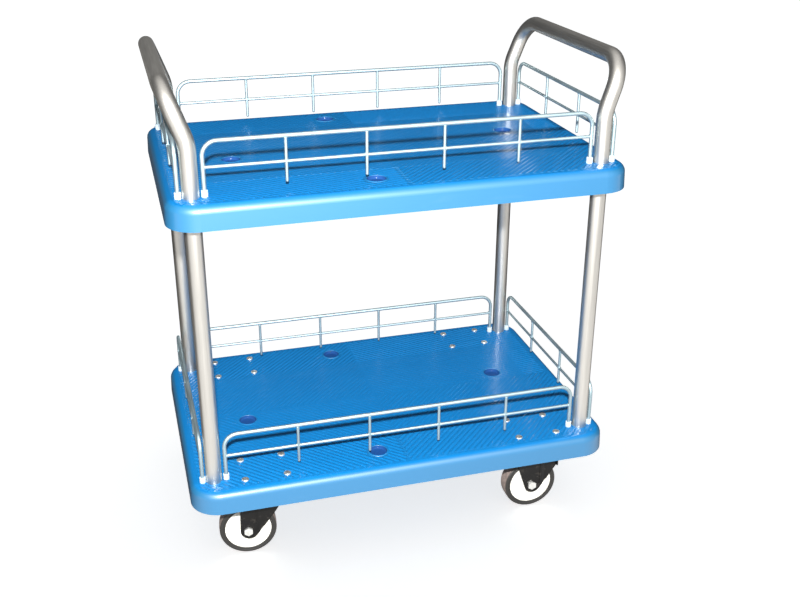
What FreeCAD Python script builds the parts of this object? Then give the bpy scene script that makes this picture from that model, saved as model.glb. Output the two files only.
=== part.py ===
import FreeCAD, Part
import math
import os

# Two-tier platform trolley, in millimetres.
# +X runs along the long side towards the fixed casters, +Y goes from the front to the back, +Z is up.
# The origin is on the floor, under the middle of the decks.

# ---------------------------------------------------------------- driving dimensions

# Decks: two equal moulded trays, open underneath
deck_length = 900.0
deck_width = 600.0
deck_height = 47.0
deck_corner_radius = 60.0
deck_draft_inset = 2.0
deck_edge_round = 16.0
deck_wall = 4.5
deck_skin = 6.0
deck_pitch = 600.0

# Tread field: the gently raised middle of each deck
tread_margin_x = 78.0
tread_margin_y = 130.0
tread_corner_radius = 20.0
tread_rise = 0.6

# Ribs under the deck skin
rib_spacing = 75.0
rib_thickness = 3.5
rib_depth = 18.0

# Moulding cups, seen as round dimples in the deck
cup_radius = 19.0
cup_depth = 7.0
cup_wall = 3.0
cup_inset_x = 150.0
cup_inset_y = 72.0
cup_offset_x = 53.0
cup_offset_y = 30.0

# Hoops: one bent tube at each end, which carries the upper deck and ends in a handle
hoop_diameter = 32.0
hoop_wall = 1.5
hoop_inset_x = 50.0
hoop_inset_y = 55.5
hoop_knee_height = 100.0
hoop_bar_height = 196.5
hoop_lean = 34.5
hoop_toe_in = 6.5
hoop_knee_radius = 90.0
hoop_corner_radius = 60.0
hoop_socket_depth = 40.0
hoop_clearance = 0.15

# Corner block: the moulded lump that holds a hoop leg and the ends of two rails
block_wall = 3.4
block_height = 45.0

# Cross bolts through the corner blocks
cross_bolt_diameter = 6.0
cross_rib_gap = 2.0
cross_head_diameter = 12.0
cross_head_height = 3.5
cross_nut_flats = 10.0
cross_nut_height = 5.0
cross_bolt_proud = 2.0
cross_bolt_clearance = 0.2

# Guard rails
rail_rod_diameter = 8.0
rail_wire_diameter = 6.0
rail_top_height = 101.0
rail_mid_height = 53.5
rail_foot_gap = 14.0
rail_corner_radius = 28.0
rail_socket_depth = 28.0
rail_clearance = 0.1
long_rail_gap = 5.0
short_rail_gap = 2.7
long_rail_bays = 5
short_rail_bays = 3

# Collars on the rail posts
collar_wall = 2.2
collar_height = 12.0
collar_rim = 1.0

# Casters
wheel_radius = 60.0
caster_seat_depth = 47.0
caster_inset_x = 154.0
caster_inset_y = 76.5
caster_trail = 40.0
caster_rest_turn = -5.0
plate_bolt_spacing_x = 86.0
plate_bolt_spacing_y = 73.0
plate_margin_x = 15.0
plate_margin_y = 12.5
plate_thickness = 4.0
plate_corner_radius = 9.0

# Caster bolts
caster_bolt_diameter = 8.0
caster_bolt_clearance = 0.3
caster_head_diameter = 15.0
caster_head_height = 2.6
caster_head_round = 1.2
caster_washer_diameter = 16.0
caster_washer_thickness = 1.6
caster_nut_flats = 13.0
caster_nut_height = 6.5
caster_bolt_proud = 1.5

# Caster pad: the ribbed box under the lower deck that each plate bolts to
pad_wall = 4.0
pad_boss_radius = 9.0
pad_pocket_radius = 15.0
pad_pocket_depth = 8.0

# Wheel
tyre_width = 32.0
tyre_thickness = 12.0
tyre_shoulder = 5.0
hub_rim_inset = 2.0
hub_rim_thickness = 5.0
hub_web_inset = 5.5
hub_boss_wall = 3.4
hub_boss_proud = 3.0
hub_boss_flare = 2.0
hub_edge_round = 1.5

# Axle, with the spacer tube that the wheel's bush turns on
axle_diameter = 10.0
axle_clearance = 0.05
axle_head_flats = 17.0
axle_head_height = 5.0
axle_nut_height = 8.0
axle_proud = 2.5
spacer_wall = 2.5
bush_wall = 4.0
running_clearance = 0.05

# Forks; the reaches and elbows are (distance from the axle, height over the axle)
fork_sheet = 3.0
fork_side_gap = 1.0
fork_bend = 4.0
fork_end_radius = 19.0
fork_end_offset = 2.5
fork_crown_gap = 10.5
fork_bead_radius = 1.8
fork_bead_place = 19.0
fork_flute_radius = 9.0
fork_flute_depth = 1.4
fork_flute_place = 29.0
swivel_rear_reach = 14.0
swivel_front_elbow = (58.5, 43.0)
swivel_neck_height = 8.0
rigid_rear_elbow = (31.0, 41.0)
rigid_rear_reach = 39.5
rigid_front_elbow = (57.5, 46.0)
rigid_lip_width = 7.0

# Swivel head
ball_track_radius = 25.5
race_rim = 5.5
race_height = 4.0
race_gap = 6.0
ball_radius = 4.0
ball_count = 18
ball_clearance = 0.03
kingpin_radius = 6.0
kingpin_head_radius = 11.0
kingpin_head_height = 3.0
kingpin_foot_radius = 10.0
kingpin_clearance = 0.05
seal_wall = 1.4
seal_gap = 0.6
seal_plate_gap = 1.0

# How far a cutting shape runs past what it cuts, and how near counts as the same place
over = 1.0
fuzz = 0.01

# ---------------------------------------------------------------- worked-out places

AXLE_Z = wheel_radius
SWIVEL_CROWN = 2 * wheel_radius + fork_crown_gap
SWIVEL_CROWN_TOP = SWIVEL_CROWN + fork_sheet
BALL_Z = SWIVEL_CROWN_TOP + race_height + race_gap / 2
RACE_RADIUS = ball_track_radius + race_rim
PLATE_BOTTOM = BALL_Z + race_gap / 2 + race_height
PLATE_TOP = PLATE_BOTTOM + plate_thickness
PLATE_LENGTH = plate_bolt_spacing_x + 2 * plate_margin_x
PLATE_WIDTH = plate_bolt_spacing_y + 2 * plate_margin_y
LOWER_TOP = PLATE_TOP + caster_seat_depth
UPPER_TOP = LOWER_TOP + deck_pitch
HOOP_X = deck_length / 2 - hoop_inset_x
HOOP_Y = deck_width / 2 - hoop_inset_y
HOOP_RADIUS = hoop_diameter / 2
BLOCK_SIDE = HOOP_RADIUS + block_wall
ROD_RADIUS = rail_rod_diameter / 2
WIRE_RADIUS = rail_wire_diameter / 2
LONG_RAIL_X = HOOP_X - HOOP_RADIUS - long_rail_gap - ROD_RADIUS
SHORT_RAIL_X = HOOP_X + HOOP_RADIUS + short_rail_gap + ROD_RADIUS
CASTER_X = deck_length / 2 - caster_inset_x
CASTER_Y = deck_width / 2 - caster_inset_y
AXLE_RADIUS = axle_diameter / 2
HUB_RADIUS = wheel_radius - tyre_thickness
SPACER_RADIUS = AXLE_RADIUS + axle_clearance + spacer_wall
BUSH_RADIUS = SPACER_RADIUS + running_clearance + bush_wall
HUB_BOSS = tyre_width / 2 + hub_boss_proud
FORK_INNER = HUB_BOSS + fork_side_gap
FORK_OUTER = FORK_INNER + fork_sheet

CROSS_DROP = deck_skin + rib_depth + cross_head_diameter / 2 + cross_rib_gap

CORNERS = {
    "front_left": (-1, -1),
    "back_left": (-1, 1),
    "front_right": (1, -1),
    "back_right": (1, 1),
}


def vec(x, y, z):
    return FreeCAD.Vector(x, y, z)


UP = vec(0, 0, 1)
ALONG_Y = vec(0, 1, 0)
HERE = vec(0, 0, 0)


# ---------------------------------------------------------------- small shape helpers

def rod(radius, length, start, direction=UP):
    """A round bar from start, along direction."""
    return Part.makeCylinder(radius, length, start, direction)


def ring(outer, inner, length, start, direction=UP):
    """A round bar with a round hole through it."""
    return rod(outer, length, start, direction).cut(rod(inner, length, start, direction))


def slab(x0, x1, y0, y1, z0, z1):
    """A box given by its limits."""
    return Part.makeBox(x1 - x0, y1 - y0, z1 - z0, vec(x0, y0, z0))


def hexagon(flats, length, start, direction=UP):
    """A hexagonal bar, by its width across flats."""
    corner = flats / math.sqrt(3)
    turn = FreeCAD.Rotation(UP, direction)
    points = []
    for side in range(7):
        angle = math.radians(60 * side + 30)
        flat_point = vec(corner * math.cos(angle), corner * math.sin(angle), 0)
        points.append(start + turn.multVec(flat_point))
    return Part.Face(Part.makePolygon(points)).extrude(direction * length)


def rounded_outline(length, width, radius, z):
    """A closed rectangle with round corners, centred on the Z axis."""
    edges = []
    reach_x = length / 2 - radius
    reach_y = width / 2 - radius
    centres = [(reach_x, reach_y), (-reach_x, reach_y), (-reach_x, -reach_y), (reach_x, -reach_y)]
    for quarter, (cx, cy) in enumerate(centres):
        nx, ny = centres[(quarter + 1) % 4]
        arc = []
        for part in (0.0, 0.5, 1.0):
            angle = math.radians(90 * (quarter + part))
            arc.append(vec(cx + radius * math.cos(angle), cy + radius * math.sin(angle), z))
        turn = math.radians(90 * (quarter + 1))
        following = vec(nx + radius * math.cos(turn), ny + radius * math.sin(turn), z)
        edges.append(Part.Arc(arc[0], arc[1], arc[2]).toShape())
        edges.append(Part.makeLine(arc[2], following))
    return Part.Wire(edges)


def rounded_slab(length, width, radius, z0, z1):
    """A plate with round corners, centred on the Z axis."""
    outline = rounded_outline(length, width, radius, z0)
    return Part.Face(outline).extrude(vec(0, 0, z1 - z0))


def bent_path(points, radii):
    """Straight runs joined by tangent arcs; radii has one value for each inner point."""
    edges = []
    start = points[0]
    for index, radius in enumerate(radii):
        before = points[index]
        corner = points[index + 1]
        after = points[index + 2]
        back = (before - corner).normalize()
        on = (after - corner).normalize()
        half = back.getAngle(on) / 2
        reach = radius / math.tan(half)
        middle = (back + on).normalize()
        enter = corner + back * reach
        leave = corner + on * reach
        crest = corner + middle * (radius / math.sin(half) - radius)
        edges.append(Part.makeLine(start, enter))
        edges.append(Part.Arc(enter, crest, leave).toShape())
        start = leave
    edges.append(Part.makeLine(start, points[-1]))
    return Part.Wire(edges)


def edges_at_top(body, z):
    """The edges of a shape that lie at height z, where nothing stands higher."""
    return [edge for edge in body.Edges if edge.BoundBox.ZMin > z - fuzz]


def round_edges(body, radius):
    """The circular edges of a turned shape that have this radius about the axle."""
    return [edge for edge in body.Edges
            if edge.BoundBox.YLength < fuzz and abs(edge.Curve.Radius - radius) < fuzz]


def bar_along(path, radius):
    """A round bar whose middle line is the path."""
    first = path.OrderedEdges[0]
    start = first.valueAt(first.FirstParameter)
    direction = first.tangentAt(first.FirstParameter)
    section = Part.Wire([Part.makeCircle(radius, start, direction)])
    return path.makePipeShell([section], True, False)


def grouped(solids):
    """Separate solids kept together as one node."""
    return Part.makeCompound(solids)


def joined(solids):
    """One solid made of several that overlap."""
    return solids[0].multiFuse(solids[1:]).removeSplitter()


def four_corners(x, y):
    """The four mirror images of a place in plan."""
    return [(sx * x, sy * y) for sx in (-1, 1) for sy in (-1, 1)]


# ---------------------------------------------------------------- decks

def deck_shell(top):
    """The drafted tray with its rounded top edge, and the hollow inside it."""
    bottom = top - deck_height
    inset = 2 * deck_draft_inset
    low = rounded_outline(deck_length, deck_width, deck_corner_radius, bottom)
    high = rounded_outline(deck_length - inset, deck_width - inset,
                           deck_corner_radius - deck_draft_inset, top)
    body = Part.makeLoft([low, high], True, True)
    body = body.makeFillet(deck_edge_round, edges_at_top(body, top))
    thin = 2 * deck_wall
    low = rounded_outline(deck_length - thin, deck_width - thin, deck_corner_radius - deck_wall, bottom)
    high = rounded_outline(deck_length - thin - inset, deck_width - thin - inset,
                           deck_corner_radius - deck_wall - deck_draft_inset, top - deck_skin)
    hollow = Part.makeLoft([low, high], True, True)
    hollow = hollow.makeFillet(deck_edge_round - deck_wall, edges_at_top(hollow, top - deck_skin))
    return body, hollow


def deck_ribs(top):
    """The grid of ribs that stiffens the skin from below."""
    ribs = []
    high = top - deck_skin / 2
    low = top - deck_skin - rib_depth
    half = rib_thickness / 2
    columns = int((deck_length / 2 - 2 * deck_wall) // rib_spacing)
    for column in range(-columns, columns + 1):
        x = column * rib_spacing
        ribs.append(slab(x - half, x + half, -deck_width / 2, deck_width / 2, low, high))
    rows = int((deck_width / 2 - 2 * deck_wall) // rib_spacing)
    for row in range(-rows, rows + 1):
        y = row * rib_spacing
        ribs.append(slab(-deck_length / 2, deck_length / 2, y - half, y + half, low, high))
    return ribs


def corner_blocks(top):
    """The four blocks that hold the hoop legs and the rail ends."""
    blocks = []
    reach = ROD_RADIUS + block_wall
    for x, y in four_corners(HOOP_X, HOOP_Y):
        inner = math.copysign(LONG_RAIL_X - reach, x)
        outer = math.copysign(SHORT_RAIL_X + reach, x)
        blocks.append(slab(min(inner, outer), max(inner, outer), y - BLOCK_SIDE, y + BLOCK_SIDE,
                           top - block_height, top - deck_skin / 2))
    return blocks


def cup_places():
    """The round dimples, as they lie in the deck."""
    x = deck_length / 2 - cup_inset_x
    y = deck_width / 2 - cup_inset_y
    return [(-x, -cup_offset_y), (x, cup_offset_y), (-cup_offset_x, y), (-cup_offset_x, -y)]


def rail_post_places():
    """Where the ends of the eight rail posts of one deck go in."""
    return four_corners(LONG_RAIL_X, HOOP_Y) + four_corners(SHORT_RAIL_X, HOOP_Y)


def caster_bolt_places():
    """Where the sixteen caster bolts go through the lower deck."""
    places = []
    for cx, cy in four_corners(CASTER_X, CASTER_Y):
        for dx, dy in four_corners(plate_bolt_spacing_x / 2, plate_bolt_spacing_y / 2):
            places.append((cx + dx, cy + dy))
    return places


def caster_pads(top):
    """The ribbed boxes that the caster plates bolt to."""
    pads = []
    low = PLATE_TOP
    high = top - deck_skin / 2
    half_x = PLATE_LENGTH / 2
    half_y = PLATE_WIDTH / 2
    wall = pad_wall / 2
    for cx, cy in four_corners(CASTER_X, CASTER_Y):
        box = slab(cx - half_x, cx + half_x, cy - half_y, cy + half_y, low, high)
        core = slab(cx - half_x + pad_wall, cx + half_x - pad_wall,
                    cy - half_y + pad_wall, cy + half_y - pad_wall, low, high)
        pads.append(box.cut(core))
        pads.append(slab(cx - wall, cx + wall, cy - half_y, cy + half_y, low, high))
        pads.append(slab(cx - half_x, cx + half_x, cy - wall, cy + wall, low, high))
    for x, y in caster_bolt_places():
        pads.append(rod(pad_boss_radius, high - low, vec(x, y, low)))
    return pads


def deck(top, carries_casters):
    """One deck; the lower one has blind hoop sockets and caster pads."""
    body, hollow = deck_shell(top)
    inside = deck_ribs(top) + corner_blocks(top)
    for x, y in cup_places():
        depth = cup_depth + cup_wall
        inside.append(rod(cup_radius + cup_wall, depth - deck_skin / 2, vec(x, y, top - depth)))
    if carries_casters:
        inside = inside + caster_pads(top)
    webs = inside[0].multiFuse(inside[1:]).common(body)
    tread = rounded_slab(deck_length - 2 * tread_margin_x, deck_width - 2 * tread_margin_y,
                         tread_corner_radius, top - deck_skin / 2, top + tread_rise)
    body = body.cut(hollow).multiFuse([webs, tread])
    holes = []
    for x, y in four_corners(HOOP_X, HOOP_Y):
        deep = hoop_socket_depth if carries_casters else deck_height
        holes.append(rod(HOOP_RADIUS + hoop_clearance, deep + over, vec(x, y, top - deep)))
        start = vec(x, y - BLOCK_SIDE, top - CROSS_DROP)
        radius = cross_bolt_diameter / 2 + cross_bolt_clearance
        holes.append(rod(radius, 2 * BLOCK_SIDE, start, ALONG_Y))
    for x, y in rail_post_places():
        radius = ROD_RADIUS + rail_clearance
        holes.append(rod(radius, rail_socket_depth + over, vec(x, y, top - rail_socket_depth)))
    for x, y in cup_places():
        holes.append(rod(cup_radius, cup_depth + tread_rise + over, vec(x, y, top - cup_depth)))
    if carries_casters:
        for x, y in caster_bolt_places():
            radius = caster_bolt_diameter / 2 + caster_bolt_clearance
            holes.append(rod(radius, caster_seat_depth + 2 * over, vec(x, y, PLATE_TOP - over)))
        for x, y in four_corners(CASTER_X, CASTER_Y):
            holes.append(rod(pad_pocket_radius, pad_pocket_depth, vec(x, y, PLATE_TOP)))
    return body.cut(Part.makeCompound(holes)).removeSplitter()


# ---------------------------------------------------------------- hoops

def hoop(side):
    """A bent tube: two legs, two knees that lean outwards, and the handle bar."""
    low = LOWER_TOP - hoop_socket_depth
    knee = UPPER_TOP + hoop_knee_height
    bar = UPPER_TOP + hoop_bar_height
    x = side * HOOP_X
    bar_x = side * (HOOP_X + hoop_lean)
    bar_y = HOOP_Y - hoop_toe_in
    points = [vec(x, -HOOP_Y, low), vec(x, -HOOP_Y, knee), vec(bar_x, -bar_y, bar),
              vec(bar_x, bar_y, bar), vec(x, HOOP_Y, knee), vec(x, HOOP_Y, low)]
    radii = [hoop_knee_radius, hoop_corner_radius, hoop_corner_radius, hoop_knee_radius]
    path = bent_path(points, radii)
    tube = bar_along(path, HOOP_RADIUS).cut(bar_along(path, HOOP_RADIUS - hoop_wall))
    holes = []
    for y in (-HOOP_Y, HOOP_Y):
        for top in (LOWER_TOP, UPPER_TOP):
            start = vec(x, y - HOOP_RADIUS - over, top - CROSS_DROP)
            radius = cross_bolt_diameter / 2 + cross_bolt_clearance
            holes.append(rod(radius, hoop_diameter + 2 * over, start, ALONG_Y))
    return tube.cut(Part.makeCompound(holes))


def cross_bolts():
    """Eight bolts that pin the hoop legs in the two decks, heads towards the outside."""
    bolts = []
    shank = 2 * BLOCK_SIDE + cross_nut_height + cross_bolt_proud
    for x, y in four_corners(HOOP_X, HOOP_Y):
        out = ALONG_Y * math.copysign(1, y)
        for top in (LOWER_TOP, UPPER_TOP):
            head = vec(x, y, top - CROSS_DROP) + out * BLOCK_SIDE
            parts = [rod(cross_head_diameter / 2, cross_head_height, head, out),
                     rod(cross_bolt_diameter / 2, shank, head, out * -1)]
            bolts.append(joined(parts))
    return grouped(bolts)


def cross_nuts():
    """The nuts of the cross bolts."""
    nuts = []
    for x, y in four_corners(HOOP_X, HOOP_Y):
        inwards = ALONG_Y * -math.copysign(1, y)
        for top in (LOWER_TOP, UPPER_TOP):
            start = vec(x, y, top - CROSS_DROP) + inwards * BLOCK_SIDE
            body = hexagon(cross_nut_flats, cross_nut_height, start, inwards)
            nuts.append(body.cut(rod(cross_bolt_diameter / 2, cross_nut_height, start, inwards)))
    return grouped(nuts)


# ---------------------------------------------------------------- guard rails

def rail(along, start, length, top, bays):
    """A bent rod with a middle wire and short drop wires welded in its plane."""
    end = start + along * length
    low = UP * (top - rail_socket_depth)
    high = UP * (top + rail_top_height)
    path = bent_path([start + low, start + high, end + high, end + low],
                     [rail_corner_radius, rail_corner_radius])
    parts = [bar_along(path, ROD_RADIUS)]
    middle = UP * (top + rail_mid_height)
    parts.append(rod(WIRE_RADIUS, length, start + middle, along))
    foot = top + rail_foot_gap + WIRE_RADIUS
    for bay in range(1, bays):
        place = start + along * (length * bay / bays) + UP * foot
        parts.append(rod(WIRE_RADIUS, top + rail_top_height - foot, place))
        parts.append(Part.makeSphere(WIRE_RADIUS, place))
    return joined(parts)


def long_rail(side, top):
    """A rail along the front or the back of a deck."""
    return rail(vec(1, 0, 0), vec(-LONG_RAIL_X, side * HOOP_Y, 0), 2 * LONG_RAIL_X, top, long_rail_bays)


def short_rail(side, top):
    """A rail across an end of a deck, outside the hoop."""
    return rail(ALONG_Y, vec(side * SHORT_RAIL_X, -HOOP_Y, 0), 2 * HOOP_Y, top, short_rail_bays)


def rail_collars(top):
    """The collars that close the post holes of one deck."""
    collars = []
    for x, y in rail_post_places():
        body = rod(ROD_RADIUS + collar_wall, collar_height, vec(x, y, top))
        body = body.makeFillet(collar_rim, edges_at_top(body, top + collar_height))
        collars.append(body.cut(rod(ROD_RADIUS, collar_height, vec(x, y, top))))
    return grouped(collars)


# ---------------------------------------------------------------- caster bolts

def caster_bolts():
    """Flat-headed bolts through the deck, the pads and the plates."""
    bolts = []
    below = caster_washer_thickness + caster_nut_height + caster_bolt_proud
    shank = caster_seat_depth + plate_thickness + below
    for x, y in caster_bolt_places():
        head = rod(caster_head_diameter / 2, caster_head_height, vec(x, y, LOWER_TOP))
        head = head.makeFillet(caster_head_round, edges_at_top(head, LOWER_TOP + caster_head_height))
        bolts.append(joined([head, rod(caster_bolt_diameter / 2, shank, vec(x, y, LOWER_TOP - shank))]))
    return grouped(bolts)


def caster_washers():
    """The washers under the caster plates."""
    low = PLATE_BOTTOM - caster_washer_thickness
    return grouped([ring(caster_washer_diameter / 2, caster_bolt_diameter / 2, caster_washer_thickness,
                         vec(x, y, low)) for x, y in caster_bolt_places()])


def caster_nuts():
    """The nuts under the washers."""
    nuts = []
    low = PLATE_BOTTOM - caster_washer_thickness - caster_nut_height
    for x, y in caster_bolt_places():
        body = hexagon(caster_nut_flats, caster_nut_height, vec(x, y, low))
        nuts.append(body.cut(rod(caster_bolt_diameter / 2, caster_nut_height, vec(x, y, low))))
    return grouped(nuts)


# ---------------------------------------------------------------- casters
# A caster is made with the middle of its plate on the Z axis and its wheel turning about Y.

def caster_plate():
    """The bolted plate with its four holes."""
    plate = rounded_slab(PLATE_LENGTH, PLATE_WIDTH, plate_corner_radius, PLATE_BOTTOM, PLATE_TOP)
    radius = caster_bolt_diameter / 2 + caster_bolt_clearance
    for x, y in four_corners(plate_bolt_spacing_x / 2, plate_bolt_spacing_y / 2):
        plate = plate.cut(rod(radius, plate_thickness, vec(x, y, PLATE_BOTTOM)))
    return plate


def swivel_plate():
    """A plate with the upper ball race under it."""
    race = rod(RACE_RADIUS, race_height, vec(0, 0, PLATE_BOTTOM - race_height))
    body = joined([caster_plate(), race])
    bore = rod(kingpin_radius, plate_thickness + race_height, vec(0, 0, PLATE_BOTTOM - race_height))
    groove = Part.makeTorus(ball_track_radius, ball_radius + ball_clearance, vec(0, 0, BALL_Z))
    return body.cut(bore).cut(groove)


def swivel_balls():
    """The ring of balls between the races."""
    balls = []
    for index in range(ball_count):
        angle = 2 * math.pi * index / ball_count
        centre = vec(ball_track_radius * math.cos(angle), ball_track_radius * math.sin(angle), BALL_Z)
        balls.append(Part.makeSphere(ball_radius, centre))
    return grouped(balls)


def kingpin():
    """The riveted pin that holds the fork up to its plate."""
    foot_top = SWIVEL_CROWN - kingpin_clearance
    foot_low = foot_top - kingpin_head_height
    length = PLATE_TOP + kingpin_head_height - foot_low
    return joined([
        rod(kingpin_radius, length, vec(0, 0, foot_low)),
        rod(kingpin_head_radius, kingpin_head_height, vec(0, 0, PLATE_TOP)),
        rod(kingpin_foot_radius, kingpin_head_height, vec(0, 0, foot_low)),
    ])


def swivel_seal():
    """The dust ring round the ball race, standing on the fork."""
    height = PLATE_BOTTOM - seal_plate_gap - SWIVEL_CROWN_TOP
    inner = RACE_RADIUS + seal_gap
    return ring(inner + seal_wall, inner, height, vec(0, 0, SWIVEL_CROWN_TOP))


def tangent_point(elbow, side):
    """Where a line from an elbow touches the round end of a fork, both measured from the axle."""
    x = elbow[0] - fork_end_offset
    z = elbow[1]
    angle = math.atan2(z, x) + side * math.acos(fork_end_radius / math.hypot(x, z))
    return (fork_end_offset + fork_end_radius * math.cos(angle), fork_end_radius * math.sin(angle))


def fork_side(rear_edge, front_edge, axle_x):
    """The side view of a fork: a round end about the axle, and two edges up to the crown."""
    low_rear = tangent_point(rear_edge[0], 1)
    low_front = tangent_point(front_edge[0], -1)
    outline = [low_rear] + rear_edge + list(reversed(front_edge)) + [low_front]
    near = -FORK_OUTER - over
    points = [vec(axle_x + x, near, AXLE_Z + z) for x, z in outline]
    points.append(points[0])
    depth = 2 * (FORK_OUTER + over)
    blade = Part.Face(Part.makePolygon(points)).extrude(ALONG_Y * depth)
    end = rod(fork_end_radius, depth, vec(axle_x + fork_end_offset, near, AXLE_Z), ALONG_Y)
    return blade.fuse(end)


def fork_channel(x0, x1, crown_top):
    """A sheet bent into a channel that is open below."""
    low = AXLE_Z - fork_end_radius - over
    outer = slab(x0, x1, -FORK_OUTER, FORK_OUTER, low, crown_top)
    inner = slab(x0 - over, x1 + over, -FORK_INNER, FORK_INNER, low - over, crown_top - fork_sheet)
    outer = outer.makeFillet(fork_bend + fork_sheet, long_edges_at(outer, crown_top))
    inner = inner.makeFillet(fork_bend, long_edges_at(inner, crown_top - fork_sheet))
    return outer.cut(inner)


def long_edges_at(box, z):
    """The edges of a box that run along X at height z."""
    return [edge for edge in box.Edges
            if abs(edge.BoundBox.ZMin - z) < fuzz and abs(edge.BoundBox.ZMax - z) < fuzz
            and edge.BoundBox.XLength > fuzz]


def fork_beads(axle_x, crown_top):
    """A pressed bead down the outside of each leg."""
    beads = []
    low = AXLE_Z
    high = crown_top - fork_bend - 2 * fork_sheet
    for side in (-1, 1):
        start = vec(axle_x + fork_bead_place, side * FORK_OUTER, low)
        beads.append(rod(fork_bead_radius, high - low, start))
        beads.append(Part.makeSphere(fork_bead_radius, start))
        beads.append(Part.makeSphere(fork_bead_radius, start + UP * (high - low)))
    inside = slab(axle_x, axle_x + 2 * fork_bead_place, -FORK_INNER, FORK_INNER, 0, crown_top)
    return [bead.cut(inside) for bead in beads]


def fork_flutes(axle_x, crown_top):
    """Cutters for the shallow upright hollow in front of each bead."""
    reach = FORK_OUTER - fork_flute_depth + fork_flute_radius
    low = AXLE_Z - fork_end_radius
    high = crown_top - fork_bend - fork_sheet
    place = axle_x + fork_flute_place
    return [rod(fork_flute_radius, high - low, vec(place, side * reach, low)) for side in (-1, 1)]


def fork(rear_edge, front_edge, crown_top, axle_x):
    """A pressed fork with its axle hole; the edges are points in its side view, from the axle."""
    profile = fork_side(rear_edge, front_edge, axle_x)
    box = profile.BoundBox
    body = fork_channel(box.XMin - over, box.XMax + over, crown_top).common(profile)
    body = body.cut(grouped(fork_flutes(axle_x, crown_top)))
    body = joined([body] + fork_beads(axle_x, crown_top))
    radius = AXLE_RADIUS + axle_clearance
    hole = rod(radius, 2 * (FORK_OUTER + over), vec(axle_x, -FORK_OUTER - over, AXLE_Z), ALONG_Y)
    return body.cut(hole)


def swivel_fork():
    """The turning fork, with the lower ball race on its crown."""
    rise = SWIVEL_CROWN_TOP - AXLE_Z
    front = caster_trail + RACE_RADIUS + seal_gap + seal_wall
    rear_edge = [(-swivel_rear_reach, rise)]
    front_edge = [swivel_front_elbow, (front, rise - swivel_neck_height), (front, rise)]
    body = fork(rear_edge, front_edge, SWIVEL_CROWN_TOP, -caster_trail)
    race = rod(RACE_RADIUS, race_height, vec(0, 0, SWIVEL_CROWN_TOP))
    body = joined([body, race])
    depth = fork_sheet + race_height + 2 * over
    bore = rod(kingpin_radius + kingpin_clearance, depth, vec(0, 0, SWIVEL_CROWN - over))
    groove = Part.makeTorus(ball_track_radius, ball_radius + ball_clearance, vec(0, 0, BALL_Z))
    return body.cut(bore).cut(groove)


def rigid_fork():
    """The fixed fork, welded straight under its plate, with a turned-out lip down its front edges."""
    rise = PLATE_BOTTOM - AXLE_Z
    rear_x, rear_z = rigid_rear_elbow
    rear_edge = [(-rear_x, rear_z), (-rigid_rear_reach, rise)]
    front_x, front_z = rigid_front_elbow
    front_edge = [rigid_front_elbow, (front_x, rise)]
    body = fork(rear_edge, front_edge, PLATE_BOTTOM, 0)
    lips = []
    for side in (-1, 1):
        root = side * (FORK_INNER + over)
        tip = side * (FORK_OUTER + rigid_lip_width)
        lips.append(slab(front_x - fork_sheet, front_x, min(root, tip), max(root, tip),
                         AXLE_Z + front_z, PLATE_BOTTOM))
    return joined([body] + lips)


# ---------------------------------------------------------------- wheels
# A wheel is made with its axle along Y through x = 0, y = 0, z = AXLE_Z.

def turned(outline):
    """A solid turned about the axle from (radius, y) points."""
    points = [vec(radius, y, AXLE_Z) for radius, y in outline]
    points.append(points[0])
    return Part.Face(Part.makePolygon(points)).revolve(vec(0, 0, AXLE_Z), ALONG_Y, 360)


def hub():
    """The moulded wheel centre: a rim, a web, and a boss for the bush."""
    rim = tyre_width / 2 - hub_rim_inset
    web = tyre_width / 2 - hub_web_inset
    boss = BUSH_RADIUS + hub_boss_wall
    inner_rim = HUB_RADIUS - hub_rim_thickness
    slope = rim - web
    outline = [
        (BUSH_RADIUS, -HUB_BOSS), (boss, -HUB_BOSS), (boss + hub_boss_flare, -web),
        (inner_rim - slope / 2, -web), (inner_rim, -rim), (HUB_RADIUS, -rim),
        (HUB_RADIUS, rim), (inner_rim, rim), (inner_rim - slope / 2, web),
        (boss + hub_boss_flare, web), (boss, HUB_BOSS), (BUSH_RADIUS, HUB_BOSS),
    ]
    body = turned(outline)
    return body.makeFillet(hub_edge_round, round_edges(body, inner_rim))


def tyre():
    """The tyre band with round shoulders."""
    half = tyre_width / 2
    body = ring(wheel_radius, HUB_RADIUS, tyre_width, vec(0, -half, AXLE_Z), ALONG_Y)
    return body.makeFillet(tyre_shoulder, round_edges(body, wheel_radius))


def bush():
    """The plain bearing pressed into the hub."""
    start = vec(0, -HUB_BOSS, AXLE_Z)
    return ring(BUSH_RADIUS, SPACER_RADIUS + running_clearance, 2 * HUB_BOSS, start, ALONG_Y)


def spacer():
    """The tube clamped between the fork legs."""
    start = vec(0, -FORK_INNER, AXLE_Z)
    return ring(SPACER_RADIUS, AXLE_RADIUS + axle_clearance, 2 * FORK_INNER, start, ALONG_Y)


def axle(out):
    """The axle bolt, with its head on the outer side of the trolley."""
    outward = ALONG_Y * out
    head = vec(0, out * FORK_OUTER, AXLE_Z)
    shank = 2 * FORK_OUTER + axle_nut_height + axle_proud
    return joined([hexagon(axle_head_flats, axle_head_height, head, outward),
                   rod(AXLE_RADIUS, shank, head, outward * -1)])


def axle_nut(out):
    """The nut on the inner side."""
    inward = ALONG_Y * -out
    start = vec(0, -out * FORK_OUTER, AXLE_Z)
    body = hexagon(axle_head_flats, axle_nut_height, start, inward)
    return body.cut(rod(AXLE_RADIUS, axle_nut_height, start, inward))


# ---------------------------------------------------------------- assembly

def placed(shape, corner, swings=False):
    """Moves a caster piece to its corner; a swinging one keeps its rest turn."""
    side_x, side_y = CORNERS[corner]
    moved = shape.copy()
    if swings and side_y < 0:
        moved.rotate(HERE, UP, caster_rest_turn)
    moved.translate(vec(side_x * CASTER_X, side_y * CASTER_Y, 0))
    return moved


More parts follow.
